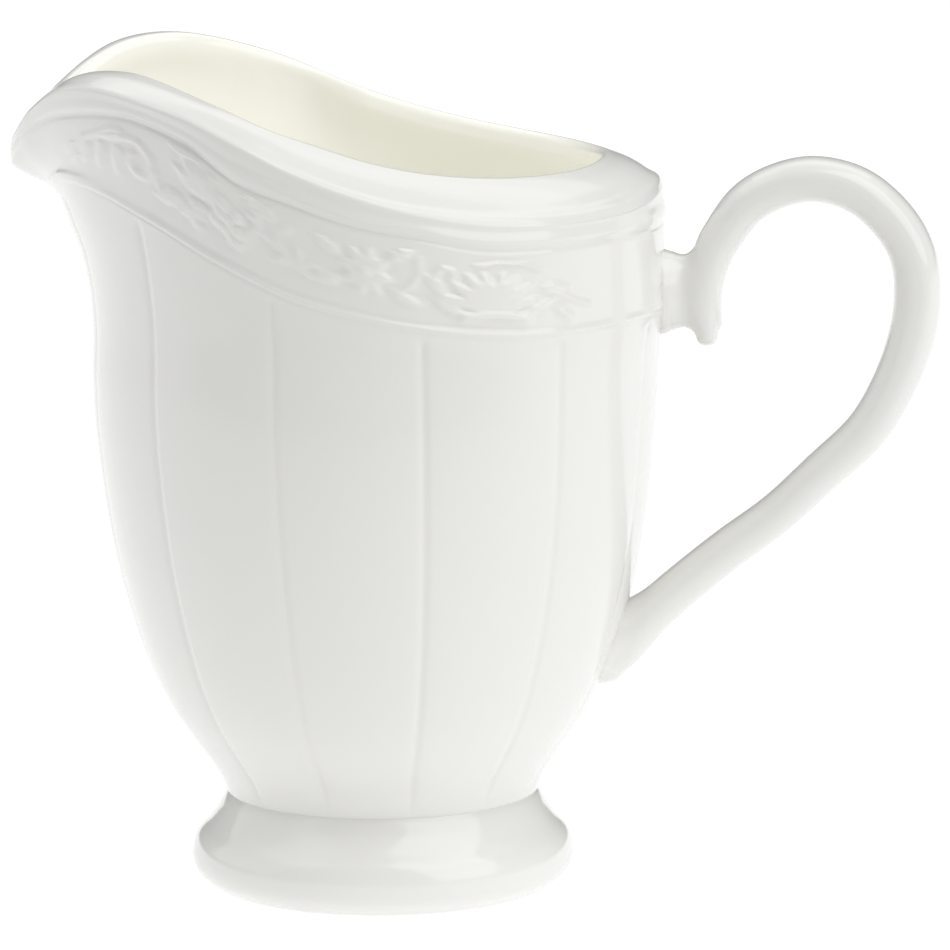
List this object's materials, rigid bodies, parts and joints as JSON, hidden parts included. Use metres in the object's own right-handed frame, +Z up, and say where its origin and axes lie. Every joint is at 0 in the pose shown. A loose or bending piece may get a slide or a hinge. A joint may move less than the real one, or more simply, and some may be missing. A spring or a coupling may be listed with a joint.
{
  "type": "cream jug",
  "caption": "Footed cream jug with a fluted body, a high sweeping pouring lip, a relief frieze under the rim and a scrolled loop handle.",
  "frame": {"origin": "centre of the jug's footprint box, on the plane the foot ring stands on", "axes": "+X from the pouring lip towards the handle, +Y across the jug, +Z up"},
  "size_m": [0.1211, 0.0762, 0.1095],
  "materials": {
    "glazed_porcelain": "gloss",
    "sprig_porcelain": "gloss"
  },
  "bodies": {
    "root": {"body": "glazed_porcelain", "foot": "glazed_porcelain", "handle": "glazed_porcelain", "near_shell_leaf_sprig": "sprig_porcelain", "near_flower_sprig": "sprig_porcelain", "near_fruit_sprig": "sprig_porcelain", "near_curled_leaf_sprig": "sprig_porcelain", "far_shell_leaf_sprig": "sprig_porcelain", "far_flower_sprig": "sprig_porcelain", "far_fruit_sprig": "sprig_porcelain", "far_curled_leaf_sprig": "sprig_porcelain"}
  },
  "joints": []
}
